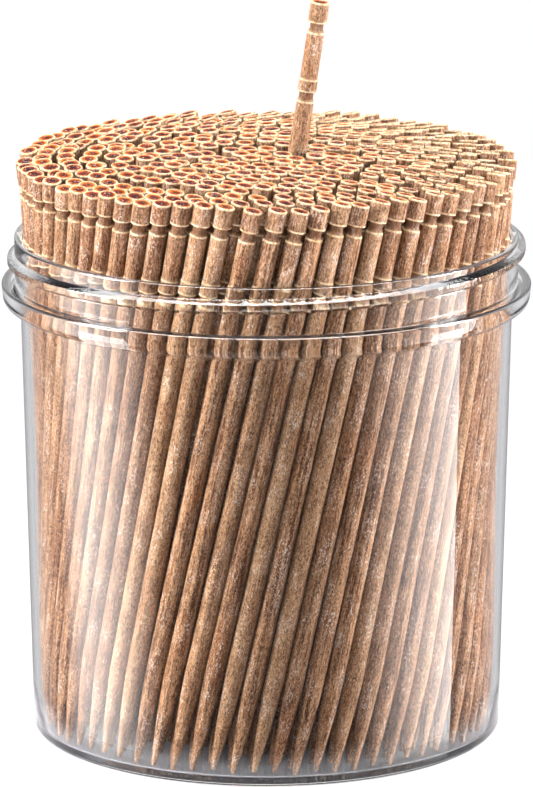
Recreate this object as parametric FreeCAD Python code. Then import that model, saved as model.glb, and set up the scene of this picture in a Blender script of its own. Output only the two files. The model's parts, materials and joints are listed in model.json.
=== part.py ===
"""Clear tub of turned wooden cocktail picks, which stands on a counter as a toothpick dispenser.

The tub is one thin-walled moulding: a drafted wall on a floor with a recessed underside, a collar that
stops the lid, and a neck with one right-hand thread ridge.  The picks stand in it on their tips.  They all
lean the same way round, so the bundle is twisted and fans out above the rim.  One pick is drawn part of
the way out.  Each pick is a solid of its own, and some of them are nodes of their own that can be drawn.

Frame: +Z up, origin at the centre of the face the tub stands on, -Y towards the front.  Millimetres.
"""

import FreeCAD, Part

import math
import os
import random

# ---- tub ---------------------------------------------------------------------------------------------
TUB_HEIGHT = 56.3          # standing face to the top of the rim
FOOT_RADIUS = 26.2         # outside of the drafted wall, carried down to the standing face
WALL_DRAFT = 1.37          # degrees, the wall widens upwards
WALL = 0.7                 # thickness of the side wall
FLOOR = 1.0                # thickness of the floor
FOOT_ROUND = 0.7           # outside corner between wall and standing face
FLOOR_ROUND = 0.3          # inside corner between wall and floor
STANDING_RING = 3.0        # width of the ring that the tub stands on
RECESS_DEPTH = 0.35        # of the underside inside that ring
RECESS_SLOPE = 0.8         # width of the recess's sloping edge

NECK_PROUD = 0.64          # how far the neck stands out from the wall under the collar
NECK_WALL = 0.85           # thickness of the neck's wall
NECK_BELOW_COLLAR = 2.65   # collar top to where the inside starts to widen to the neck
NECK_STEP = 0.8            # height over which it widens
RIM_ROUND = 0.25           # rounding of the rim's outer edge
RIM_LEAD_IN = 0.3          # bevel on the rim's inner edge

COLLAR_BELOW_RIM = 5.15    # rim to the collar's flat top, which stops the lid
COLLAR_PROUD = 1.45        # how far the collar stands out from the neck
COLLAR_HEIGHT = 2.5        # from the collar's top to the foot of its rounded bottom edge
COLLAR_TAPER = 0.1         # how much further in its outer face is at its foot
COLLAR_DEPTH = 3.0         # collar top to where its sloping underside meets the wall
COLLAR_ROUND = 0.35        # rounding of the collar's top edge
COLLAR_FOOT_ROUND = 1.1    # rounding of its bottom edge

THREAD_PROUD = 0.8         # how far the ridge's crest stands out from the neck
THREAD_LEAD = 3.0          # rise in one turn
THREAD_TURNS = 0.75
THREAD_ROOT = 1.7          # height of the ridge where it leaves the neck
THREAD_CREST = 0.7         # height of its crest
THREAD_BELOW_RIM = 2.0     # rim to the middle of the ridge at the front
THREAD_BITE = 0.3          # how far the ridge's root reaches into the neck's wall

# ---- pick --------------------------------------------------------------------------------------------
PICK_LENGTH = 65.0
PICK_RADIUS = 1.05         # shaft, bead and head
TIP_RADIUS = 0.27          # blunt end of the tip
TIP_LENGTH = 10.5          # tip to where the shaft has its full radius
TIP_BOW = 0.1              # how far the tip's side bows out from a straight cone
HEAD_LENGTH = 2.3
HEAD_BEVEL = 0.12
GROOVE_LENGTH = 1.15       # of each of the two grooves, along the pick
GROOVE_TOP_FLANK = 0.1     # length of a groove's sloping side at its top
GROOVE_FOOT_FLANK = 0.36   # and at its foot, which flares more gently
HEAD_GROOVE_DEPTH = 0.31
BODY_LENGTH = 5.2          # turned length between the head's groove and the bead
BODY_DEPTH = 0.08          # how far it lies under the head and the bead
BEAD_LENGTH = 1.5
BEAD_STEP = 0.15           # length of the slope from body to bead
BEAD_GROOVE_DEPTH = 0.25
SHOULDER_DEPTH = 0.09      # shaft just under the bead's groove, below its full radius
SHOULDER_LENGTH = 6.0      # over which the shaft widens from there to its full radius

# ---- bundle ------------------------------------------------------------------------------------------
PICK_GAP = 0.045           # space that the picks settle to between each other
LEAST_GAP = 0.012          # a pick that would come nearer than this is left out
WALL_GAP = 0.07            # least space between a pick and the tub's wall
TIP_LIFT = 0.03            # space between a tip and the floor
LIFT_SPREAD = 0.55         # picks ride up by as much as this where their neighbours hold them
EDGE_LEAN = 13.5           # degrees that the outermost picks lean around the tub
WALL_RINGS = 3             # rings of picks that follow the wall; the rest start in a hexagonal pattern
RING_SLACK = 0.03          # extra space between picks along a ring
RING_STEP_SLACK = 0.12     # extra space between a ring and the next
CORE_SLACK = 0.09          # extra space in the hexagonal pattern
CORE_CROWD = 0.4           # how far the pattern reaches into the innermost ring's place
SCATTER = 0.25             # disorder given to the starting places
SETTLE_ROUNDS = 200        # passes in which the picks push each other apart
SETTLE_REACH = 3.2         # picks that come this near to each other are watched while they settle
SETTLE_LOOK = 50           # passes after which it is looked up again which these are
SEED = 7

DRAWN_X, DRAWN_Y = 3.5, -2.7  # where the drawn pick's axis passes the heads of the others
DRAWN_SLOPE = (0.146, -0.06)  # its sideways shift per unit of height, in X and Y
DRAWN_REACH = 10.0         # picks nearer to it than this take on its slope more and more
DRAWN_OUT = 17.8           # how far it is drawn
DRAW_CLEARANCE = 3.2       # least distance between the ways out of picks that can be drawn
DRAW_TRAVEL = 78.0         # height above the heads that their ways are kept clear over
DRAW_STEPS = 40            # heights at which the ways are compared
LOOSE_INNER_RADIUS = 12.0  # the picks that can be drawn stand on two rings
LOOSE_INNER_COUNT = 5
LOOSE_OUTER_RADIUS = 24.5
LOOSE_OUTER_COUNT = 6
CORE_BAND = 5.5            # heads nearer to the middle than this belong to one group
INNER_BAND = 12.5          # out to here they belong to 6 groups, one for each sector
MIDDLE_BAND = 19.5         # out to here to 12, and beyond to 24
BANDS = [("core", CORE_BAND, 1), ("inner", INNER_BAND, 6), ("middle", MIDDLE_BAND, 12),
         ("outer", math.inf, 24)]

DRAFT_SLOPE = math.tan(math.radians(WALL_DRAFT))
COLLAR_TOP = TUB_HEIGHT - COLLAR_BELOW_RIM
COLLAR_FOOT = COLLAR_TOP - COLLAR_DEPTH
NECK_FOOT = COLLAR_TOP - NECK_BELOW_COLLAR
NECK_RADIUS = FOOT_RADIUS + DRAFT_SLOPE * NECK_FOOT + NECK_PROUD
NECK_INSIDE = NECK_RADIUS - NECK_WALL
ROW_STEP = math.sqrt(3) / 2    # from row to row of a hexagonal pattern, in spacings
GIVE = 0.52                    # share of a missing gap that each of two picks gives way by

# A pick's axis is kept as its two places (x, y) at the heights LOW, halfway up its tip, and HIGH.
TIP_TOP = FLOOR + TIP_LENGTH
LOW = FLOOR + TIP_LENGTH / 2
HIGH = FLOOR + PICK_LENGTH + LIFT_SPREAD
APART = 2 * PICK_RADIUS + PICK_GAP


def vec(x, y, z):
    return FreeCAD.Vector(x, y, z)


ORIGIN = vec(0, 0, 0)
UP = vec(0, 0, 1)


# ---- shapes from outlines ----------------------------------------------------------------------------
def outline_face(points):
    """Face in the XZ plane from (radius, height) points; ("arc", middle, end) bends the edge to its end."""
    edges = []
    here = points[0]
    for item in points[1:] + points[:1]:
        if item[0] == "arc":
            middle, end = item[1:]
            edges.append(Part.Arc(*[vec(r, 0, z) for r, z in (here, middle, end)]).toShape())
        else:
            end = item
            edges.append(Part.LineSegment(vec(here[0], 0, here[1]), vec(end[0], 0, end[1])).toShape())
        here = end
    return Part.Face(Part.Wire(edges))


def revolved(points):
    return outline_face(points).revolve(ORIGIN, UP, 360)


def round_corner(centre, radius, from_degrees, to_degrees):
    """Start point and arc of a rounded corner about a centre in the (radius, height) plane."""
    def at(degrees):
        turn = math.radians(degrees)
        return (centre[0] + radius * math.cos(turn), centre[1] + radius * math.sin(turn))
    return [at(from_degrees), ("arc", at((from_degrees + to_degrees) / 2), at(to_degrees))]


def bowed(start, end, bow):
    """An arc from start to end whose middle stands out by bow to the right of the way there."""
    dx, dy = end[0] - start[0], end[1] - start[1]
    length = math.hypot(dx, dy)
    middle = ((start[0] + end[0]) / 2 + bow * dy / length, (start[1] + end[1]) / 2 - bow * dx / length)
    return ("arc", middle, end)


# ---- tub ---------------------------------------------------------------------------------------------
def wall_outside(z):
    return FOOT_RADIUS + DRAFT_SLOPE * z


def wall_inside(z):
    """Inside radius of the tub at a height below the neck."""
    return wall_outside(z) - WALL


def tub_outline():
    foot = wall_outside(0)
    recess = foot - FOOT_ROUND - STANDING_RING
    root = (wall_outside(COLLAR_FOOT), COLLAR_FOOT)
    collar = NECK_RADIUS + COLLAR_PROUD
    points = [(0, RECESS_DEPTH), (recess - RECESS_SLOPE, RECESS_DEPTH), (recess, 0)]
    points += round_corner((foot - FOOT_ROUND, FOOT_ROUND), FOOT_ROUND, -90, 0)
    collar_foot = (collar - COLLAR_TAPER - COLLAR_FOOT_ROUND, COLLAR_TOP - COLLAR_HEIGHT + COLLAR_FOOT_ROUND)
    points += [root] + round_corner(collar_foot, COLLAR_FOOT_ROUND, -90, 0)
    points += round_corner((collar - COLLAR_ROUND, COLLAR_TOP - COLLAR_ROUND), COLLAR_ROUND, 0, 90)
    points += [(NECK_RADIUS, COLLAR_TOP)]
    points += round_corner((NECK_RADIUS - RIM_ROUND, TUB_HEIGHT - RIM_ROUND), RIM_ROUND, 0, 90)
    points += [(NECK_INSIDE + RIM_LEAD_IN, TUB_HEIGHT), (NECK_INSIDE, TUB_HEIGHT - RIM_LEAD_IN)]
    points += [(NECK_INSIDE, NECK_FOOT + NECK_STEP), (wall_inside(NECK_FOOT), NECK_FOOT)]
    points += round_corner((wall_inside(FLOOR) - FLOOR_ROUND, FLOOR + FLOOR_ROUND), FLOOR_ROUND, 0, -90)
    points += [(0, FLOOR)]
    return points


def thread_ridge():
    """One right-hand ridge along a helix, rooted in the neck's wall, with its middle at the front."""
    rise = THREAD_LEAD * THREAD_TURNS
    helix = Part.makeHelix(THREAD_LEAD, rise, NECK_RADIUS)
    root, crest = NECK_RADIUS - THREAD_BITE, NECK_RADIUS + THREAD_PROUD
    section = [(root, -THREAD_ROOT / 2), (crest, -THREAD_CREST / 2), (crest, THREAD_CREST / 2),
               (root, THREAD_ROOT / 2), (root, -THREAD_ROOT / 2)]
    wire = Part.makePolygon([vec(r, 0, z) for r, z in section])
    ridge = Part.Wire(helix.Edges).makePipeShell([wire], True, True)
    ridge.rotate(ORIGIN, UP, -90 - 180 * THREAD_TURNS)
    ridge.translate(vec(0, 0, TUB_HEIGHT - THREAD_BELOW_RIM - rise / 2))
    return ridge


def tub():
    return revolved(tub_outline()).fuse(thread_ridge())


# ---- pick --------------------------------------------------------------------------------------------
def pick_outline():
    """Half outline of a pick that stands on its tip at the origin."""
    head_foot = PICK_LENGTH - HEAD_LENGTH
    body_top = head_foot - GROOVE_LENGTH
    bead_top = body_top - BODY_LENGTH
    bead_foot = bead_top - BEAD_LENGTH
    shoulder = bead_foot - GROOVE_LENGTH
    shaft, body = PICK_RADIUS, PICK_RADIUS - BODY_DEPTH
    head_groove, bead_groove = PICK_RADIUS - HEAD_GROOVE_DEPTH, PICK_RADIUS - BEAD_GROOVE_DEPTH
    return [
        (0, 0), (TIP_RADIUS, 0), bowed((TIP_RADIUS, 0), (shaft, TIP_LENGTH), TIP_BOW),
        (shaft, shoulder - SHOULDER_LENGTH), (shaft - SHOULDER_DEPTH, shoulder),
        (bead_groove, shoulder + GROOVE_FOOT_FLANK), (bead_groove, bead_foot - GROOVE_TOP_FLANK),
        (shaft, bead_foot), (shaft, bead_top - BEAD_STEP), (body, bead_top),
        (body, body_top), (head_groove, body_top + GROOVE_FOOT_FLANK),
        (head_groove, head_foot - GROOVE_TOP_FLANK), (shaft, head_foot),
        (shaft, PICK_LENGTH - HEAD_BEVEL), (shaft - HEAD_BEVEL, PICK_LENGTH), (0, PICK_LENGTH)]


# ---- axes of the picks -------------------------------------------------------------------------------
def at_height(line, z):
    part = (z - LOW) / (HIGH - LOW)
    return (line[0] + (line[2] - line[0]) * part, line[1] + (line[3] - line[1]) * part)


def slope_of(line):
    return ((line[2] - line[0]) / (HIGH - LOW), (line[3] - line[1]) / (HIGH - LOW))


def line_through(point, z, slope):
    return [point[0] + slope[0] * (LOW - z), point[1] + slope[1] * (LOW - z),
            point[0] + slope[0] * (HIGH - z), point[1] + slope[1] * (HIGH - z)]


def wall_limits():
    """Heights at which the tub bears on the bundle, with the largest radius of a pick's axis there."""
    return [
        (FLOOR, wall_inside(FLOOR) - FLOOR_ROUND - TIP_RADIUS - WALL_GAP),
        (TIP_TOP, wall_inside(TIP_TOP) - PICK_RADIUS - WALL_GAP),
        (NECK_FOOT, wall_inside(NECK_FOOT) - PICK_RADIUS - WALL_GAP),
        (TUB_HEIGHT, NECK_INSIDE - PICK_RADIUS - WALL_GAP),
    ]


def outermost():
    """Height midway up the wall, with the radius and outward slope there of a pick that just clears it."""
    _, (low, low_reach), _, (top, top_reach) = wall_limits()
    swing = math.tan(math.radians(EDGE_LEAN)) * (top - low) / 2
    near = math.sqrt(low_reach ** 2 - swing ** 2)
    far = math.sqrt(top_reach ** 2 - swing ** 2)
    return (low + top) / 2, (near + far) / 2, (far - near) / (top - low)


def ring_places(radius, lean, phase):
    count = int(2 * math.pi * radius * math.cos(lean) / (APART + RING_SLACK))
    turns = [2 * math.pi * (i + phase) / count for i in range(count)]
    return [(radius * math.cos(turn), radius * math.sin(turn)) for turn in turns]


def hexagonal_places(radius):
    spacing = APART + CORE_SLACK
    rows = int(radius / (spacing * ROW_STEP)) + 1
    places = []
    for row in range(-rows, rows + 1):
        for column in range(-rows - 1, rows + 2):
            x, y = (column + 0.5 * (row % 2)) * spacing, row * spacing * ROW_STEP
            if math.hypot(x, y) <= radius:
                places.append((x, y))
    return places


def leaning_line(place, drawn):
    """Axis through a place midway up the wall, with the bundle's twist and fan or the drawn pick's slope."""
    middle, reach, spread = outermost()
    twist, fan = math.tan(math.radians(EDGE_LEAN)) / reach, spread / reach
    x, y = place
    near = math.exp(-(math.dist(place, at_height(drawn, middle)) / DRAWN_REACH) ** 2)
    slope = (fan * x - twist * y, fan * y + twist * x)
    along = slope_of(drawn)
    return line_through(place, middle, [a + (b - a) * near for a, b in zip(slope, along)])


def starting_lines(drawn):
    """Rings along the wall round a hexagonal core, all with the same twist and fan and a little disorder."""
    rng = random.Random(SEED)
    middle, reach, spread = outermost()
    twist, fan = math.tan(math.radians(EDGE_LEAN)) / reach, spread / reach
    ring_step = APART * ROW_STEP + RING_STEP_SLACK
    places = hexagonal_places(reach - WALL_RINGS * ring_step + CORE_CROWD)
    for ring in range(WALL_RINGS):
        radius = reach - ring * ring_step
        places += ring_places(radius, math.atan(twist * radius), rng.random())
    lines = [leaning_line(place, drawn) for place in places]
    return [[value + rng.uniform(-SCATTER, SCATTER) for value in line] for line in lines]


# ---- packing -----------------------------------------------------------------------------------------
def nearest(one, other):
    """Least distance of two axes between LOW and HIGH: (distance, place on one, on other, dx, dy)."""
    rise = HIGH - LOW
    ux, uy = one[2] - one[0], one[3] - one[1]
    vx, vy = other[2] - other[0], other[3] - other[1]
    wx, wy = one[0] - other[0], one[1] - other[1]
    a = ux * ux + uy * uy + rise * rise
    b = ux * vx + uy * vy + rise * rise
    c = vx * vx + vy * vy + rise * rise
    d = ux * wx + uy * wy
    e = vx * wx + vy * wy
    det = a * c - b * b
    s = min(1.0, max(0.0, (b * e - c * d) / det)) if det > 1e-9 * a * c else 0.5
    t = min(1.0, max(0.0, (b * s + e) / c))
    s = min(1.0, max(0.0, (b * t - d) / a))
    dx, dy, dz = wx + ux * s - vx * t, wy + uy * s - vy * t, rise * (s - t)
    return math.sqrt(dx * dx + dy * dy + dz * dz), s, t, dx, dy


def neighbours(lines):
    """Pairs of picks that come near enough to each other anywhere to touch while the bundle settles."""
    pairs = [(i, j) for j in range(len(lines)) for i in range(j)]
    return [(i, j) for i, j in pairs if nearest(lines[i], lines[j])[0] < SETTLE_REACH]


def push(line, place, dx, dy):
    """Shift an axis sideways at a place between LOW (0) and HIGH (1)."""
    low, high = 1 - place, place
    share = 1 / (low * low + high * high)
    line[0] += dx * low * share
    line[1] += dy * low * share
    line[2] += dx * high * share
    line[3] += dy * high * share


def hold_inside(line, limits):
    for z, reach in limits:
        x, y = at_height(line, z)
        excess = 1 - reach / max(math.hypot(x, y), reach)
        if excess > 0:
            push(line, (z - LOW) / (HIGH - LOW), -x * excess, -y * excess)


def settle(lines, drawn):
    """Picks push each other off, the drawn one and the wall push them too.  Returns how crowded each is."""
    limits = wall_limits()
    for turn in range(SETTLE_ROUNDS):
        if turn % SETTLE_LOOK == 0:
            pairs = neighbours(lines)
        crowding = [0.0] * len(lines)
        for i, j in pairs:
            distance, s, t, dx, dy = nearest(lines[i], lines[j])
            if distance < APART:
                missing = APART - distance
                step = GIVE * missing / max(math.hypot(dx, dy), PICK_GAP)
                push(lines[i], s, dx * step, dy * step)
                push(lines[j], t, -dx * step, -dy * step)
                crowding[i] = max(crowding[i], missing)
                crowding[j] = max(crowding[j], missing)
        for i, line in enumerate(lines):
            distance, s, _, dx, dy = nearest(line, drawn)
            if distance < APART:
                step = (APART - distance) / max(math.hypot(dx, dy), PICK_GAP)
                push(line, s, dx * step, dy * step)
                crowding[i] = max(crowding[i], APART - distance)
            hold_inside(line, limits)
        if max(crowding) < (PICK_GAP - LEAST_GAP) / 2:
            break
    return crowding


def packed_lines(drawn):
    """The settled bundle; while some picks find no room, the most crowded one is left out."""
    lines = starting_lines(drawn)
    while True:
        crowding = settle(lines, drawn)
        worst = max(crowding)
        if worst < PICK_GAP - LEAST_GAP:
            return lines
        del lines[crowding.index(worst)]


# ---- nodes -------------------------------------------------------------------------------------------
def placed(pick, line, lift):
    """A copy of the standing pick with its axis on a line and its blunt tip this far above the floor."""
    foot = at_height(line, FLOOR)
    direction = vec(*slope_of(line), 1).normalize()
    blunt = TIP_RADIUS * math.sqrt(1 - direction.z ** 2)
    start = vec(*foot, FLOOR) + direction * ((TIP_LIFT + blunt + lift) / direction.z)
    copy = pick.copy()
    copy.Placement = FreeCAD.Placement(start, FreeCAD.Rotation(UP, direction))
    return copy


def ways_cross(one, other):
    """Whether two axes come near each other between the heads and where a drawn pick's head can reach."""
    heights = [HIGH + DRAW_TRAVEL * step / DRAW_STEPS for step in range(DRAW_STEPS + 1)]
    return any(math.dist(at_height(one, z), at_height(other, z)) < DRAW_CLEARANCE for z in heights)


def choose_loose(lines, drawn):
    """Picks nearest to even places on the rings, whose ways out keep clear of each other."""
    chosen = []
    for radius, count in ((LOOSE_INNER_RADIUS, LOOSE_INNER_COUNT), (LOOSE_OUTER_RADIUS, LOOSE_OUTER_COUNT)):
        for i in range(count):
            turn = 2 * math.pi * (i + 0.5) / count - math.pi / 2
            goal = (radius * math.cos(turn), radius * math.sin(turn))
            for line in sorted(lines, key=lambda line: math.dist(at_height(line, LOW), goal)):
                if line not in chosen and not any(ways_cross(line, other) for other in [drawn] + chosen):
                    chosen.append(line)
                    break
    return chosen


def band_of(line):
    """Name of the group that a pick belongs to, by where its head stands."""
    x, y = at_height(line, HIGH)
    radius, turn = math.hypot(x, y), math.atan2(y, x) / (2 * math.pi) % 1
    name, _, count = next(band for band in BANDS if radius < band[1])
    return f"picks_{name}_{int(turn * count) + 1:02d}" if count > 1 else f"picks_{name}"


def bundle():
    """The picks of each node."""
    rng = random.Random(SEED + 1)
    pick = revolved(pick_outline())
    drawn = line_through((DRAWN_X, DRAWN_Y), HIGH, DRAWN_SLOPE)
    lines = packed_lines(drawn)
    loose = choose_loose(lines, drawn)
    nodes = {"raised_pick": [placed(pick, drawn, DRAWN_OUT)]}
    for line in lines:
        name = f"loose_pick_{loose.index(line) + 1:02d}" if line in loose else band_of(line)
        nodes.setdefault(name, []).append(placed(pick, line, rng.uniform(0, LIFT_SPREAD)))
    return nodes


os.makedirs("parts", exist_ok=True)
tub().exportStep("parts/tub.step")
for node, picks in sorted(bundle().items()):
    shape = picks[0] if len(picks) == 1 else Part.makeCompound(picks)
    shape.exportStep(f"parts/{node}.step")
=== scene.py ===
"""Looks of a clear tub of turned wooden cocktail picks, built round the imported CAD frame."""

import json
import math

import bpy
import numpy as np
from mathutils import Euler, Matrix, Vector


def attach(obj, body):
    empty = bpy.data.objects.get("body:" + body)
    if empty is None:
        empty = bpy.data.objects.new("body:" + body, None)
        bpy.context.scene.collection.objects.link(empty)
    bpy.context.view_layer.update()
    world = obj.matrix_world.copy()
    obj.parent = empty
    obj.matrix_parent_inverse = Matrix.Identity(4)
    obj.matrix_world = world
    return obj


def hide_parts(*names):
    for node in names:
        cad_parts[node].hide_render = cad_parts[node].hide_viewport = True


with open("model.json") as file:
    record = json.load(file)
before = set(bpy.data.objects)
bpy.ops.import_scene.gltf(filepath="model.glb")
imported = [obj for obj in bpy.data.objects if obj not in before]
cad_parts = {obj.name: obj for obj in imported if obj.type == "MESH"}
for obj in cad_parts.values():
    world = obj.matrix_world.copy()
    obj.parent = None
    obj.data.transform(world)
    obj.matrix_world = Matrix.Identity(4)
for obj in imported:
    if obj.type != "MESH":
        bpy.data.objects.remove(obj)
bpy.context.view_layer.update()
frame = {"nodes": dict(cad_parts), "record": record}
MM = 0.001
rng = np.random.default_rng(7)

# ---- sizes, in millimetres, as in the CAD source ------------------------------------------------------
TUB_HEIGHT, FOOT_RADIUS, WALL, FLOOR = 56.3, 26.2, 0.7, 1.0
DRAFT = math.tan(math.radians(1.37))        # the wall's slope
FOOT_ROUND, FLOOR_ROUND = 0.7, 0.3
STANDING_RING, RECESS_DEPTH, RECESS_SLOPE = 3.0, 0.35, 0.8
NECK_PROUD, NECK_WALL, NECK_BELOW_COLLAR, NECK_STEP = 0.64, 0.85, 2.65, 0.8
RIM_ROUND, RIM_LEAD_IN = 0.25, 0.3
COLLAR_BELOW_RIM, COLLAR_PROUD, COLLAR_HEIGHT, COLLAR_TAPER = 5.15, 1.45, 2.5, 0.1
COLLAR_DEPTH, COLLAR_ROUND, COLLAR_FOOT_ROUND = 3.0, 0.35, 1.1
THREAD_PROUD, THREAD_LEAD, THREAD_TURNS = 0.8, 3.0, 0.75
THREAD_ROOT, THREAD_CREST, THREAD_BELOW_RIM = 1.7, 0.7, 2.0
COLLAR_TOP = TUB_HEIGHT - COLLAR_BELOW_RIM
COLLAR_FOOT = COLLAR_TOP - COLLAR_DEPTH
NECK_FOOT = COLLAR_TOP - NECK_BELOW_COLLAR
NECK_RADIUS = FOOT_RADIUS + DRAFT * NECK_FOOT + NECK_PROUD
NECK_INSIDE = NECK_RADIUS - NECK_WALL

LENGTH, RADIUS, TIP_RADIUS, TIP_LENGTH, TIP_BOW = 65.0, 1.05, 0.27, 10.5, 0.1
HEAD_FOOT = LENGTH - 2.3
BODY_TOP = HEAD_FOOT - 1.15
BEAD_TOP = BODY_TOP - 5.2
BEAD_FOOT = BEAD_TOP - 1.5
SHOULDER = BEAD_FOOT - 1.15
BODY_RADIUS, HEAD_GROOVE, BEAD_GROOVE = RADIUS - 0.08, RADIUS - 0.31, RADIUS - 0.25
SHOULDER_RADIUS, TOP_FLANK, FOOT_FLANK = RADIUS - 0.09, 0.1, 0.36

# ---- fine detail of the meshes, in millimetres unless said --------------------------------------------
NECK_BEND = 0.05                # how far from its corner the bend between collar and neck starts
SHARP_ANGLE = 28                # degrees between the tub's faces past which an edge looks sharp
THREAD_RUN_IN = 0.006           # turns over which the thread rises to its height at each end
ROW_GAP = 0.01                  # the height kept between the thread's rows where they near the rim
TIP_ROUND = 0.06                # height of the rounding at a pick's tip
SHAFT_RINGS = (13.0, 47.0, 2.5) # first height, last height and step of the rings that let a shaft swell
HEAD_HOLLOW = 0.06              # how far a head's top sinks in its middle
FRAY_ACROSS = (-0.025, 0.012)   # how far in or out a frayed rim's corners stand
FRAY_ALONG = (-0.03, 0.03)      # how far down or up they stand
SWELL = (0.002, 0.006)          # least and greatest height of each slow swell of a pick's side
SWELL_ROOM = 0.008              # how far a pick's side is drawn in for its swells
SWELL_PITCH = (0.2, 0.8)        # radians that a swell winds round its pick in a millimetre
ANY_PHASE = 6.3                 # radians, about a full turn
GRAIN_SHIFT = 100               # how far apart two picks may lie in the wood's pattern

# ---- the photo's camera -------------------------------------------------------------------------------
PHOTO_WIDTH, PHOTO_HEIGHT = 533, 787            # pixels
FOCAL_LENGTH, AXIS_COLUMN = 6536, 266.4         # pixels, as fitted to the tub's ellipses
SENSOR = 36                                     # millimetres, along the picture's height
CAMERA_PLACE, CAMERA_TILT = (0.0, -0.7097, 0.2111), 13.71       # metres, and degrees downwards

WHITE, BLACK = (1.0, 1.0, 1.0, 1.0), (0.0, 0.0, 0.0, 1.0)


# ---- shader helpers -----------------------------------------------------------------------------------
class Nodes:
    """Short names for building the node tree of one material, or of the world or a lamp."""

    def __init__(self, name, owner=None, output="OutputMaterial"):
        self.owner = owner or bpy.data.materials.new(name)
        self.owner.use_nodes = True
        self.tree = self.owner.node_tree
        self.tree.nodes.clear()
        self.output = self.add(output)

    def add(self, kind, **inputs):
        """A new node. An input goes by its name, or by its number where names repeat, such as _1."""
        node = self.tree.nodes.new("ShaderNode" + kind)
        names = [socket.name.replace(" ", "_") for socket in node.inputs]
        for key, value in inputs.items():
            index = int(key[1:]) if key.startswith("_") else names.index(key)
            self.feed(node.inputs[index], value)
        return node

    def feed(self, socket, value):
        """Link an output to an input, or set the input's own value."""
        if isinstance(value, bpy.types.NodeSocket):
            self.tree.links.new(value, socket)
        else:
            socket.default_value = value

    def out(self, kind, **inputs):
        """The first output of a new node."""
        return self.add(kind, **inputs).outputs[0]

    def attribute(self, name, output="Fac"):
        node = self.add("Attribute")
        node.attribute_name = name
        return node.outputs[output]

    def place(self, kind="Object"):
        return self.add("TexCoord").outputs[kind]

    def split(self, vector):
        return list(self.add("SeparateXYZ", Vector=vector).outputs)

    def math(self, operation, a, b=0.0):
        node = self.add("Math", _0=a, _1=b)
        node.operation = operation
        return node.outputs[0]

    def times(self, a, b):
        return self.math("MULTIPLY", a, b)

    def ramp(self, value, low, high, start=0.0, end=1.0):
        """A smooth step from start to end while the value goes from low to high."""
        node = self.add("MapRange", Value=value, From_Min=low, From_Max=high, To_Min=start, To_Max=end)
        node.interpolation_type = "SMOOTHSTEP"
        return node.outputs[0]

    def scaled(self, vector, by):
        node = self.add("VectorMath", _0=vector, _1=by)
        node.operation = "MULTIPLY"
        return node.outputs[0]

    def length(self, vector):
        node = self.add("VectorMath", _0=vector)
        node.operation = "LENGTH"
        return node.outputs["Value"]

    def noise(self, vector, by, detail, rough):
        """Noise with about this many grains to the unit along each axis."""
        vector = self.scaled(vector, by)
        return self.out("TexNoise", Vector=vector, Scale=1.0, Detail=detail, Roughness=rough)

    def mix(self, share, a, b):
        """A colour that goes from a to b with the share."""
        node = self.add("Mix")
        node.data_type = "RGBA"
        for index, value in ((0, share), (6, a), (7, b)):
            self.feed(node.inputs[index], value)
        return node.outputs[2]

    def layered(self, colour, layers):
        """A colour with others laid over it in turn, each by its own share."""
        for share, over in layers:
            colour = self.mix(share, colour, over)
        return colour

    def blend(self, share, a, b):
        """A shader that goes from a to b with the share."""
        return self.out("MixShader", Fac=share, _1=a, _2=b)

    def surface(self, socket):
        self.tree.links.new(socket, self.output.inputs["Surface"])
        return self.owner


def srgb(r, g, b):
    """A colour given as 0-255 display values, as the linear values that shaders take."""
    def linear(value):
        value /= 255
        return value / 12.92 if value <= 0.04045 else ((value + 0.055) / 1.055) ** 2.4
    return (linear(r), linear(g), linear(b), 1.0)


# ---- materials ----------------------------------------------------------------------------------------
def bare_wood(n, grain, tone, fine, dust):
    """Dark and pale streaks along the pick, its own tone, blotches, and specks of two sizes."""
    streak = n.noise(grain, (2.4, 2.4, 0.14), 5.0, 0.7)
    blotch = n.noise(grain, (0.45, 0.45, 0.12), 2.0, 0.5)
    streaked = n.mix(n.ramp(streak, 0.36, 0.64), srgb(108, 63, 37), srgb(212, 160, 118))
    return n.layered(streaked, (
        (n.ramp(tone[0], 0.0, 1.0, 0.0, 0.45), srgb(146, 102, 74)),     # duller picks
        (n.ramp(tone[1], 0.5, 1.0, 0.0, 0.5), srgb(208, 163, 122)),     # paler picks
        (n.ramp(blotch, 0.5, 0.72, 0.0, 0.5), srgb(168, 104, 58)),      # warm blotches
        (n.ramp(fine, 0.52, 0.64, 0.0, 0.8), srgb(58, 33, 20)),         # dark pores
        (n.ramp(fine, 0.47, 0.36, 0.0, 0.55), srgb(232, 197, 160)),     # pale fibres
        (n.ramp(dust, 0.56, 0.63, 0.0, 0.85), srgb(244, 232, 222)),     # white specks
        (n.ramp(dust, 0.43, 0.35, 0.0, 0.8), srgb(52, 30, 20))))        # black specks


def charred(n, grain, cap, own):
    """A head's top: browned at its edge, charred towards its middle, with a few pale specks that are painted
    glints.
    """
    char = n.noise(grain, (1.5, 1.5, 1.5), 4.0, 0.7)
    painted_glint = n.noise(grain, (5.0, 5.0, 5.0), 1.0, 0.5)
    burnt = n.math("ADD", cap, n.ramp(char, 0.3, 0.7, 0.22, -0.22))
    burnt = n.math("ADD", burnt, n.ramp(own, 0.0, 1.0, -0.16, 0.12))
    return n.layered(srgb(232, 146, 70), (
        (n.ramp(burnt, 0.1, 0.4), srgb(176, 84, 36)),
        (n.ramp(burnt, 0.35, 0.6), srgb(116, 50, 36)),
        (n.ramp(burnt, 0.66, 0.95), srgb(58, 30, 32)),
        # painted highlight: pale specks that stand in for glints on the charred top
        (n.ramp(painted_glint, 0.64, 0.7, 0.0, 0.8), srgb(236, 220, 220))))


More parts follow.
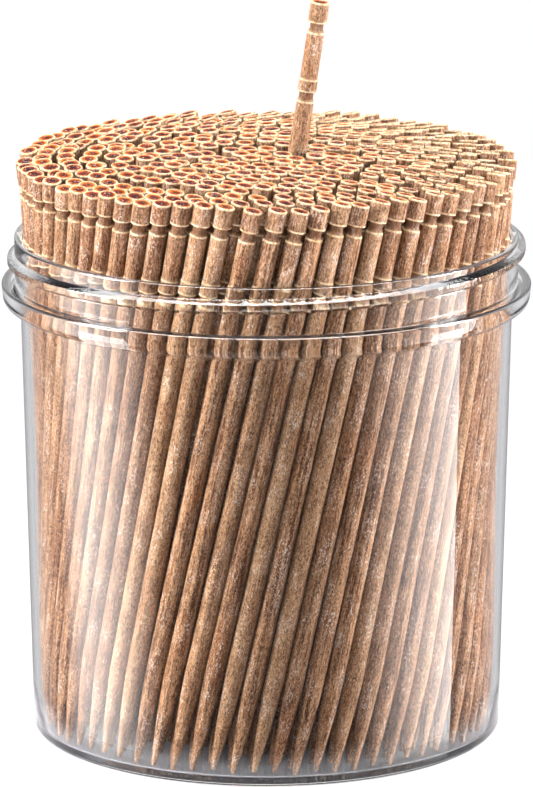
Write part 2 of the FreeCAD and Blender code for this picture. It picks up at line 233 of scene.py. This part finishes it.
def wood():
    """Turned birch: streaked grain along the pick, pale frayed rims, grooves darkened with painted shade,
    charred head tops.
    """
    n = Nodes("birch")
    grain = n.attribute("grain", "Vector")          # the pick's own coordinates in mm, shifted for each pick
    tone = n.split(n.attribute("tone", "Vector"))   # three random numbers for each pick
    cap = n.attribute("cap")                        # 0 on the side, 1 at the middle of the head's top

    fine = n.noise(grain, (7.0, 7.0, 1.8), 4.0, 0.75)
    patch = n.noise(grain, (0.7, 0.7, 0.3), 2.0, 0.5)
    dust = n.noise(grain, (5.5, 5.5, 3.6), 4.0, 0.8)
    dust = n.math("ADD", dust, n.ramp(patch, 0.4, 0.65, -0.06, 0.03))
    frayed = n.noise(grain, (3.5, 3.5, 2.0), 3.0, 0.6)
    pale = n.mix(n.ramp(frayed, 0.35, 0.6), srgb(240, 184, 118), srgb(255, 237, 203))
    colour = n.layered(bare_wood(n, grain, tone, fine, dust), (
        # painted shade: the grooves are darkened as if in shadow
        (n.times(n.attribute("groove"), 0.6), srgb(118, 76, 50)),
        (n.times(n.attribute("rim"), n.ramp(frayed, 0.3, 0.5, 0.4, 1.0)), pale),
        (n.ramp(cap, 0.06, 0.16), charred(n, grain, cap, tone[2]))))

    relief = n.math("ADD", fine, n.times(dust, 1.5))
    bump = n.out("Bump", Strength=0.9, Distance=0.0002, Height=relief)
    shine = n.ramp(cap, 0.0, 0.1, 0.16, 0.02)
    return n.surface(n.out("BsdfPrincipled", Base_Color=colour, Roughness=0.55, Normal=bump,
                           Specular_IOR_Level=shine))


def clear_plastic():
    """Clear moulded styrene, rough at the thread's left and right. It lets the lamps reach the picks."""
    n = Nodes("clear_plastic")
    spot = n.place()
    x, _, z = n.split(spot)
    reach = n.length(n.scaled(spot, (1.0, 1.0, 0.0)))
    thread = n.times(n.ramp(reach, (NECK_RADIUS + 0.1) * MM, (NECK_RADIUS + 0.3) * MM),
                     n.ramp(z, COLLAR_TOP * MM, (COLLAR_TOP + 0.3) * MM))       # 1 on the thread alone
    rough = n.times(thread, n.ramp(n.math("ABSOLUTE", x), 0.019, 0.023, 0.0, 500.0))
    rough = n.times(rough, n.noise(spot, (2600.0, 2600.0, 2600.0), 1.0, 0.5))
    ripple = n.noise(spot, (60.0, 60.0, 14.0), 2.0, 0.5)
    bump = n.out("Bump", Strength=0.06, Distance=0.0002, Height=n.math("ADD", ripple, rough))

    edge = n.add("LayerWeight", Blend=0.5).outputs["Facing"]
    # painted shade: the clear plastic's colour greys towards its silhouettes, where the walls are seen edge
    # on
    painted_edge_shade = n.mix(n.ramp(edge, 0.55, 1.0), (0.985, 0.99, 0.99, 1.0), (0.62, 0.62, 0.65, 1.0))
    glass = n.out("BsdfPrincipled", Base_Color=painted_edge_shade, Roughness=0.015, IOR=1.55, Normal=bump,
                  Transmission_Weight=1.0)
    passed = n.mix(n.ramp(edge, 0.5, 0.9), (0.97, 0.975, 0.975, 1.0), (0.52, 0.52, 0.52, 1.0))
    lit = n.add("LightPath").outputs["Is Shadow Ray"]
    return n.surface(n.blend(lit, glass, n.out("BsdfTransparent", Color=passed)))


# ---- the picks' axes, read from the frame -------------------------------------------------------------
def separate_solids(mesh):
    """The corners of each separate solid of a mesh, in millimetres."""
    places = np.empty(len(mesh.vertices) * 3, np.float32)
    mesh.vertices.foreach_get("co", places)
    places, number = np.unique(places.reshape(-1, 3), axis=0, return_inverse=True)
    ends = np.empty(len(mesh.edges) * 2, np.int64)
    mesh.edges.foreach_get("vertices", ends)
    a, b = number.ravel()[ends].reshape(-1, 2).T
    label = np.arange(len(places))
    while (label[a] != label[b]).any():
        least = np.minimum(label[a], label[b])
        np.minimum.at(label, a, least)
        np.minimum.at(label, b, least)
        label = label[label]
    return [places[label == one] / MM for one in np.unique(label)]


def axis_of(points, flat=0.01):
    """The tip and the middle of the head's top of one pick. Each end is flat to within this height."""
    points = points.astype(float)
    low, high = points[:, 2].argmin(), points[:, 2].argmax()
    way = points[high] - points[low]
    for _ in range(3):
        way /= np.linalg.norm(way)
        along = points @ way
        tip = points[along < along.min() + flat]
        top = points[along > along.max() - flat]
        tip, top = (tip.min(0) + tip.max(0)) / 2, (top.min(0) + top.max(0)) / 2
        way = top - tip
    return tip, top


# ---- meshes -------------------------------------------------------------------------------------------
def lathe_faces(rows, turns):
    """The faces of a turned skin: quads between its rings, and fans to a bottom and a top point.

    Corners are numbered ring by ring from the bottom, then the bottom point, then the top point."""
    start, j = np.meshgrid(np.arange(rows - 1) * turns, np.arange(turns), indexing="ij")
    after = (j + 1) % turns
    quads = np.stack([start + j, start + after, start + turns + after, start + turns + j], -1).reshape(-1, 4)
    j, after = j[0], after[0]
    last, bottom = (rows - 1) * turns, np.full(turns, rows * turns)
    return quads, np.concatenate([np.stack([bottom, after, j], -1),
                                  np.stack([bottom + 1, last + j, last + after], -1)])


def smooth_mesh(name, places, quads, fans):
    """A smooth-shaded mesh of corners in millimetres, four-sided faces and three-sided faces."""
    mesh = bpy.data.meshes.new(name)
    mesh.vertices.add(len(places))
    mesh.vertices.foreach_set("co", (places * MM).astype(np.float32).ravel())
    loops = np.concatenate([quads.ravel(), fans.ravel()]).astype(np.int32)
    mesh.loops.add(len(loops))
    mesh.loops.foreach_set("vertex_index", loops)
    starts = np.concatenate([np.arange(len(quads)) * 4, len(quads) * 4 + np.arange(len(fans)) * 3])
    mesh.polygons.add(len(starts))
    mesh.polygons.foreach_set("loop_start", starts.astype(np.int32))
    mesh.update(calc_edges=True)
    mesh.polygons.foreach_set("use_smooth", np.ones(len(starts), bool))
    mesh.validate()
    return mesh


def store(mesh, name, values):
    """Keep a number or a vector for each corner of a mesh."""
    kind, field = ("FLOAT_VECTOR", "vector") if values.ndim == 2 else ("FLOAT", "value")
    data = mesh.attributes.new(name, kind, "POINT").data
    data.foreach_set(field, values.astype(np.float32).ravel())


# ---- picks --------------------------------------------------------------------------------------------
def side_rings(detailed):
    """(height, radius, rim, groove, cap) of a pick's rings from the tip to the head's edge."""
    rings = [(0.0, TIP_RADIUS * 0.8, 0, 0), (TIP_ROUND, TIP_RADIUS, 0, 0)]
    steps = 9 if detailed else 2
    for i in range(1, steps + 1):
        part = i / steps
        bow = TIP_BOW * 4 * part * (1 - part)
        rings.append((TIP_LENGTH * part, TIP_RADIUS + (RADIUS - TIP_RADIUS) * part + bow, 0, 0))
    for z in np.arange(*SHAFT_RINGS) if detailed else (30.0,):
        rings.append((z, RADIUS, 0, 0))
    rings += [
        # the shaft narrows to its shoulder, and the first groove follows
        (SHOULDER - 6.0, RADIUS, 0, 0), (SHOULDER - 3.0, RADIUS - 0.045, 0, 0),
        (SHOULDER - 0.2, SHOULDER_RADIUS, 0, 0), (SHOULDER - 0.06, SHOULDER_RADIUS, 1, 0),
        (SHOULDER, SHOULDER_RADIUS, 1, 0), (SHOULDER + 0.08, RADIUS - 0.15, 0.2, 0.5),
        (SHOULDER + FOOT_FLANK, BEAD_GROOVE, 0, 1), (BEAD_FOOT - TOP_FLANK, BEAD_GROOVE, 0, 1),
        # the bead, and the step down to the body
        (BEAD_FOOT - 0.05, RADIUS - 0.03, 0.6, 0.3), (BEAD_FOOT, RADIUS, 1, 0),
        (BEAD_FOOT + 0.07, RADIUS, 1, 0), (BEAD_FOOT + 0.2, RADIUS, 0, 0),
        (BEAD_TOP - 0.3, RADIUS, 0, 0), (BEAD_TOP - 0.2, RADIUS, 0.9, 0),
        (BEAD_TOP - 0.15, RADIUS, 1, 0), (BEAD_TOP, BODY_RADIUS, 0.1, 0),
        (BEAD_TOP + 0.2, BODY_RADIUS, 0, 0)]
    if detailed:
        rings += [(z, BODY_RADIUS, 0, 0) for z in np.linspace(BEAD_TOP + 1.0, BODY_TOP - 1.0, 3)]
    rings += [
        # the body's top edge and the second groove
        (BODY_TOP - 0.22, BODY_RADIUS, 0, 0), (BODY_TOP - 0.07, BODY_RADIUS, 1, 0),
        (BODY_TOP, BODY_RADIUS, 1, 0), (BODY_TOP + 0.1, RADIUS - 0.18, 0.1, 0.5),
        (BODY_TOP + FOOT_FLANK, HEAD_GROOVE, 0, 1), (HEAD_FOOT - TOP_FLANK, HEAD_GROOVE, 0, 1),
        # the head
        (HEAD_FOOT - 0.05, RADIUS - 0.05, 0.6, 0.3), (HEAD_FOOT, RADIUS, 1, 0),
        (HEAD_FOOT + 0.08, RADIUS, 1, 0), (HEAD_FOOT + 0.22, RADIUS, 0, 0),
        (HEAD_FOOT + 1.1, RADIUS, 0, 0), (LENGTH - 0.24, RADIUS, 0, 0),
        (LENGTH - 0.12, RADIUS, 0.8, 0), (LENGTH - 0.06, RADIUS - 0.02, 1, 0), (LENGTH, RADIUS - 0.08, 1, 0)]
    return [(*ring, 0) for ring in rings]


def cap_rings():
    """(height, radius, rim, groove, cap) of the rings of a head's top, from its edge inwards."""
    rings = ((0.01, 0.88, 1, 0.02), (0.04, 0.82, 0, 0.15),
             (HEAD_HOLLOW, 0.6, 0, 0.5), (HEAD_HOLLOW, 0.3, 0, 0.8))
    return [(LENGTH - down, radius, rim, 0, cap) for down, radius, rim, cap in rings]


def worn_corners(rings, turns, phase):
    """The corners of one pick on the z axis, with frayed rims and an uneven girth."""
    height, radius, rim, _, cap = rings.T[..., None]
    turn = np.arange(turns) * 2 * math.pi / turns
    radius = radius + np.where(rim > 0.5, rng.uniform(*FRAY_ACROSS, (len(rings), turns)), 0.0)
    swell = sum(rng.uniform(*SWELL)
                * np.sin(lobes * turn + height * rng.uniform(*SWELL_PITCH) + rng.random() * ANY_PHASE)
                for lobes in (1, 2, 3))
    radius = radius + np.where(cap > 0, 0, swell - SWELL_ROOM)
    height = height + np.where(rim > 0.5, rng.uniform(*FRAY_ALONG, (len(rings), turns)), 0.0)
    height = np.minimum(height, LENGTH)
    corners = np.stack([radius * np.cos(turn + phase), radius * np.sin(turn + phase), height], -1)
    return np.concatenate([corners.reshape(-1, 3), [[0, 0, 0], [0, 0, LENGTH - HEAD_HOLLOW]]])


def pick_mesh(name, picks, detailed):
    """One mesh of all picks of a node, with the attributes that the wood reads."""
    rings = np.array(side_rings(detailed) + cap_rings(), float)
    turns = 20 if detailed else 14
    corners = len(rings) * turns + 2
    places, grains, tones = [], [], []
    for tip, head in picks:
        tone = rng.random(3)
        if name.startswith("raised"):
            tone = np.array([0.2, 0.8, 0.5])       # the drawn pick gets a fixed pale tone, painted light for the lighter, greyer look it has out in the open above the tub
        phase, shift = rng.random() * 2 * math.pi, rng.random(3) * GRAIN_SHIFT
        local = worn_corners(rings, turns, phase)
        up = (head - tip) / np.linalg.norm(head - tip)
        across = np.cross(up, (0.3, 0.8, 0.1))     # any way that is never along a pick
        across /= np.linalg.norm(across)
        third = np.cross(up, across)
        places.append(tip + local[:, :1] * across + local[:, 1:2] * third + local[:, 2:] * up)
        grains.append(local + shift)
        tones.append(np.repeat(tone[None], corners, 0))

    quads, fans = lathe_faces(len(rings), turns)
    offsets = (np.arange(len(picks)) * corners)[:, None, None]
    quads, fans = (quads + offsets).reshape(-1, 4), (fans + offsets).reshape(-1, 3)
    mesh = smooth_mesh(name, np.concatenate(places), quads, fans)
    store(mesh, "grain", np.concatenate(grains))
    store(mesh, "tone", np.concatenate(tones))
    for attribute, values, at_top in zip(("rim", "groove", "cap"), rings.T[2:], (0.0, 0.0, 1.0)):
        store(mesh, attribute, np.tile(np.append(np.repeat(values, turns), [0.0, at_top]), len(picks)))
    return mesh


# ---- tub ----------------------------------------------------------------------------------------------
def arc(centre, radius, start, end, steps):
    """Points of a rounded corner in the (radius, height) plane, angles in degrees."""
    return [(centre[0] + radius * math.cos(math.radians(start + (end - start) * i / steps)),
             centre[1] + radius * math.sin(math.radians(start + (end - start) * i / steps)))
            for i in range(steps + 1)]


def wall_radius(z):
    """The radius of the tub's outside at a height between its foot and its collar."""
    return FOOT_RADIUS + DRAFT * z


def outside():
    """(radius, height) of the tub's outside, from the recess under its floor up to the collar's top."""
    recess = FOOT_RADIUS - FOOT_ROUND - STANDING_RING
    collar = NECK_RADIUS + COLLAR_PROUD
    below = (collar - COLLAR_TAPER - COLLAR_FOOT_ROUND, COLLAR_TOP - COLLAR_HEIGHT + COLLAR_FOOT_ROUND)
    return [
        (recess * 0.5, RECESS_DEPTH), (recess - RECESS_SLOPE, RECESS_DEPTH), (recess, 0),
        *arc((FOOT_RADIUS - FOOT_ROUND, FOOT_ROUND), FOOT_ROUND, -90, 0, 8),
        *[(wall_radius(z), z) for z in np.linspace(FOOT_ROUND, COLLAR_FOOT, 12)[1:]],
        *arc(below, COLLAR_FOOT_ROUND, -90, 0, 10),
        *arc((collar - COLLAR_ROUND, COLLAR_TOP - COLLAR_ROUND), COLLAR_ROUND, 0, 90, 6),
        (NECK_RADIUS + NECK_BEND, COLLAR_TOP), (NECK_RADIUS, COLLAR_TOP + NECK_BEND)]


def inside():
    """(radius, height) of the tub's rim and inside, from the top of the neck down to the floor."""
    floor_edge = wall_radius(FLOOR) - WALL
    return [
        *arc((NECK_RADIUS - RIM_ROUND, TUB_HEIGHT - RIM_ROUND), RIM_ROUND, 0, 90, 5),
        (NECK_INSIDE + RIM_LEAD_IN, TUB_HEIGHT), (NECK_INSIDE, TUB_HEIGHT - RIM_LEAD_IN),
        (NECK_INSIDE, NECK_FOOT + NECK_STEP),
        *[(wall_radius(z) - WALL, z) for z in np.linspace(NECK_FOOT, FLOOR + FLOOR_ROUND, 12)[:-1]],
        *arc((floor_edge - FLOOR_ROUND, FLOOR + FLOOR_ROUND), FLOOR_ROUND, 0, -90, 4),
        (floor_edge * 0.5, FLOOR)]


def thread_rows(part):
    """(radius, height) of the thread's rows round the neck, at parts of a turn away from the front."""
    crest = ((-0.1, 0.14), (0.0, 0.03), (0.12, 0.0))       # along from its edge, and below its top
    flank = [(-THREAD_ROOT / 2, 0.0)]
    flank += [(along - THREAD_CREST / 2, THREAD_PROUD - low) for along, low in crest]
    ridge = flank + [(-along, proud) for along, proud in reversed(flank)]
    end, away = THREAD_TURNS / 2, np.abs(part)
    behind = np.sign(part) * end * (0.5 - away) / (0.5 - end)      # past its ends the rows meet at the back
    middle = TUB_HEIGHT - THREAD_BELOW_RIM + THREAD_LEAD * np.where(away < end, part, behind)
    risen = np.clip((end - away) / THREAD_RUN_IN, 0, 1)
    rows = np.array([np.stack([NECK_RADIUS + proud * risen, middle + along], -1) for along, proud in ridge])
    highest = TUB_HEIGHT - RIM_ROUND - ROW_GAP * np.arange(len(ridge))[::-1, None]
    rows[..., 1] = np.minimum(rows[..., 1], highest)
    return rows


def tub_mesh(turns=360):
    """The tub as one closed lathed mesh, with the thread ridge worked into the neck's rows."""
    part = np.arange(turns) / turns - 0.5
    turn = -math.pi / 2 + part * 2 * math.pi
    below, above = (np.repeat(np.array(profile)[:, None], turns, 1) for profile in (outside(), inside()))
    rows = np.concatenate([below, thread_rows(part), above])
    places = np.stack([rows[..., 0] * np.cos(turn), rows[..., 0] * np.sin(turn), rows[..., 1]], -1)
    places = np.concatenate([places.reshape(-1, 3), [[0, 0, RECESS_DEPTH], [0, 0, FLOOR]]])
    mesh = smooth_mesh("tub_clear", places, *lathe_faces(len(rows), turns))
    mesh.set_sharp_from_angle(angle=math.radians(SHARP_ANGLE))
    return mesh


# ---- build --------------------------------------------------------------------------------------------
body_with = {node: body for body, nodes in frame["record"]["behaviour"]["bodies"].items() for node in nodes}


def piece(name, mesh, material, node):
    """A visible piece that takes the place of one CAD node and moves with its body."""
    mesh.materials.append(material)
    thing = bpy.data.objects.new(name, mesh)
    bpy.context.scene.collection.objects.link(thing)
    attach(thing, body_with[node])
    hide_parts(node)
    return thing


birch, plastic = wood(), clear_plastic()
for node in sorted(frame["nodes"]):
    if node == "tub":
        continue
    picks = [axis_of(points) for points in separate_solids(frame["nodes"][node].data)]
    near_wall = "outer" in node or len(picks) == 1
    made = piece(node + "_turned", pick_mesh(node + "_turned", picks, near_wall), birch, node)
made = piece("tub_clear", tub_mesh(), plastic, "tub")


# ---- floor and studio ---------------------------------------------------------------------------------
def plain_floor():
    """A floor that is white to the eye, and matt to the lamps, with a painted shadow that darkens the ground
    under the tub.

    Glossy surfaces mirror it only close to the tub. Sight through the plastic finds it white where it lies
    outside the tub and not in front. Distances are from the tub's middle, in metres."""
    n = Nodes("pale_floor")
    place = n.place()
    reach, depth = n.length(place), n.split(place)[1]
    path = n.add("LightPath").outputs
    white = n.out("Emission", Color=WHITE)
    # painted shadow: the matt colour is darker within the tub's foot, as ground in the tub's shade
    grey = n.mix(n.ramp(reach, 0.023, 0.028, 0.42, 0.9), BLACK, (0.97, 0.95, 1.0, 1.0))
    matt_with_painted_shadow = n.out("BsdfDiffuse", Color=grey)
    through = n.times(path["Is Transmission Ray"], n.ramp(depth, -0.035, -0.02))
    through = n.times(through, n.ramp(reach, 0.025, 0.03))
    seen = n.math("MAXIMUM", path["Is Camera Ray"], through)
    seen = n.times(seen, n.math("LESS_THAN", path["Diffuse Depth"], 0.5))
    bright = n.ramp(reach, 0.05, 0.25, 0.88, 1.0)       # near the tub a little of its shadow shows
    pale = n.blend(n.times(seen, bright), matt_with_painted_shadow, white)
    unseen = n.times(path["Is Glossy Ray"], n.ramp(reach, 0.027, 0.036))
    return n.surface(n.blend(unseen, pale, n.out("BsdfTransparent")))


def add_floor(half=3):
    """A square floor that reaches this many metres each way."""
    mesh = bpy.data.meshes.new("floor")
    corners = [(-half, -half, 0), (half, -half, 0), (half, half, 0), (-half, half, 0)]
    mesh.from_pydata(corners, [], [(0, 1, 2, 3)])
    mesh.materials.append(plain_floor())
    floor = bpy.data.objects.new("floor", mesh)
    bpy.context.scene.collection.objects.link(floor)


def studio():
    """A dim room with a white backdrop, which the plastic shows behind it, with a grey room beside it."""
    n = Nodes("studio", bpy.data.worlds.new("studio"), "OutputWorld")
    path = n.add("LightPath").outputs
    _, depth, height = n.split(n.place("Generated"))
    room = n.out("Background", Color=(0.95, 0.97, 1.0, 1.0), Strength=0.02)
    white = n.out("Background", Color=WHITE, Strength=1.0)
    grey = n.out("Background", Color=(0.96, 0.9, 1.0, 1.0), Strength=n.ramp(depth, -0.7, 0.2, 0.06, 0.25))
    backdrop = n.ramp(depth, 0.6, 0.92)
    above = n.times(backdrop, n.ramp(height, -0.05, 0.1, 0.2, 1.0))
    first = n.math("LESS_THAN", path["Diffuse Depth"], 0.5)
    shown = n.blend(n.times(path["Is Glossy Ray"], first), room, n.blend(above, grey, white))
    shown = n.blend(n.times(path["Is Transmission Ray"], first), shown, n.blend(backdrop, grey, white))
    return n.surface(n.blend(path["Is Camera Ray"], shown, white))


# ---- lamps and camera ---------------------------------------------------------------------------------
def softbox(name, place, size, power, only_mirrored=False, fade=None):
    """A flat soft lamp that looks at the middle of the picks. Sizes are in metres and the power in watts.

    One may show in glossy surfaces only. fade gives where across its width the light rises from none to
    full, and where it falls off again."""
    data = bpy.data.lights.new(name, "AREA")
    data.shape = "RECTANGLE"
    data.size, data.size_y = size
    data.energy = power
    if fade:
        dark, full, still_full, dark_again = fade
        n = Nodes(name, data, "OutputLight")
        across = n.split(n.add("NewGeometry").outputs["Parametric"])[0]
        share = n.times(n.ramp(across, dark, full), n.ramp(across, still_full, dark_again, 1.0, 0.0))
        n.surface(n.out("Emission", Strength=share))
    lamp = bpy.data.objects.new(name, data)
    lamp.location = place
    target = Vector((0, 0, min(place[2], 0.045)))
    lamp.rotation_euler = (target - Vector(place)).to_track_quat("-Z", "Y").to_euler()
    lamp.visible_diffuse = not only_mirrored
    lamp.visible_transmission = not only_mirrored
    bpy.context.scene.collection.objects.link(lamp)


def around(azimuth, distance, height):
    """A place this far from the object, with 0 degrees in front and 90 to the right."""
    turn = math.radians(azimuth)
    return (distance * math.sin(turn), -distance * math.cos(turn), height)


def add_camera():
    """The photo's camera, in front of the tub and looking down on it."""
    camera = bpy.data.objects.new("camera", bpy.data.cameras.new("camera"))
    bpy.context.scene.collection.objects.link(camera)
    camera.location = CAMERA_PLACE
    camera.rotation_euler = Euler((math.radians(90 - CAMERA_TILT), 0.0, 0.0))
    camera.data.lens = SENSOR * FOCAL_LENGTH / PHOTO_HEIGHT
    camera.data.shift_x = (PHOTO_WIDTH / 2 - AXIS_COLUMN) / PHOTO_HEIGHT
    camera.data.clip_start, camera.data.clip_end = 0.05, 20
    bpy.context.scene.camera = camera


add_floor()
bpy.context.scene.world = studio()
softbox("key_left", around(-78, 0.6, 0.22), (0.3, 0.4), 9.6)
softbox("key_right", around(88, 0.6, 0.2), (0.2, 0.4), 8.8)
softbox("top", (0.0, -0.05, 0.6), (0.5, 0.5), 4.9)
softbox("front", around(-8, 0.9, 0.35), (0.6, 0.3), 0.45)
softbox("veil_left", around(-85, 0.6, -0.1), (1.0, 0.7), 14.0, only_mirrored=True,
        fade=(0.14, 0.44, 0.48, 0.92))
softbox("veil_right", around(72, 0.6, -0.1), (0.68, 0.7), 11.0, only_mirrored=True,
        fade=(-0.05, 1.05, 1.1, 2.0))
softbox("mirror_top", (0.0, 0.03, 0.6), (0.9, 0.6), 16.0, only_mirrored=True)
add_camera()
bpy.context.scene.view_settings.view_transform = "Standard"
